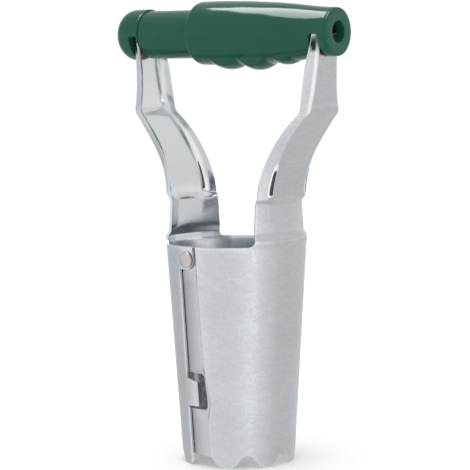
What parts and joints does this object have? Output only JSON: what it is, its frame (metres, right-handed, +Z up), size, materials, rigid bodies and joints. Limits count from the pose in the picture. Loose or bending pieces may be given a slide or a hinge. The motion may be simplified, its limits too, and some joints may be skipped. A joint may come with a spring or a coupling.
{
  "type": "bulb planter",
  "caption": "Hand bulb planter: a toothed steel tube in two riveted halves that open when the green spring-loaded handle is squeezed.",
  "frame": {"origin": "on the ground, under the middle of the planter's bounding box", "axes": "+Z up along the tube from its teeth to the handle, +X along the handle towards the grip's holed end, -Y towards the seam with the front rivet"},
  "size_m": [0.133, 0.0738, 0.235],
  "materials": {
    "zinc_plated_steel": "satin",
    "rivet_steel": "satin",
    "green_plastic": "gloss",
    "spring_steel": "satin"
  },
  "bodies": {
    "right_half": {"right_shell": "zinc_plated_steel", "front_rivet": "rivet_steel", "rear_rivet": "rivet_steel"},
    "left_half": {"left_shell": "zinc_plated_steel"},
    "grip": {"hand_grip": "green_plastic", "return_spring": "spring_steel"},
    "plunger": {"handle_tube": "green_plastic"}
  },
  "joints": [
    {"name": "shell_hinge", "type": "hinge", "parent": "right_half", "child": "left_half", "pos_m": [0.0037, 0, 0.106], "axis": [0.1641, 0.9864, 0], "range_deg": [0, 8.5], "stiffness_Nm_per_rad": 18, "springref_deg": -5.33},
    {"name": "grip_rock", "type": "hinge", "parent": "right_half", "child": "grip", "pos_m": [0.0617, 0, 0.2174], "axis": [0, 0.9323, 0.3616], "range_deg": [0, 4.5]},
    {"name": "handle_slide", "type": "slide", "parent": "grip", "child": "plunger", "axis": [1, 0, 0], "range_m": [0, 0.0166], "deforming": ["return_spring"]}
  ],
  "couplings": [
    {"joint": "grip_rock", "follows": "shell_hinge", "ratio": 0.52642},
    {"joint": "handle_slide", "follows": "shell_hinge", "m_per_rad": 0.11162}
  ]
}
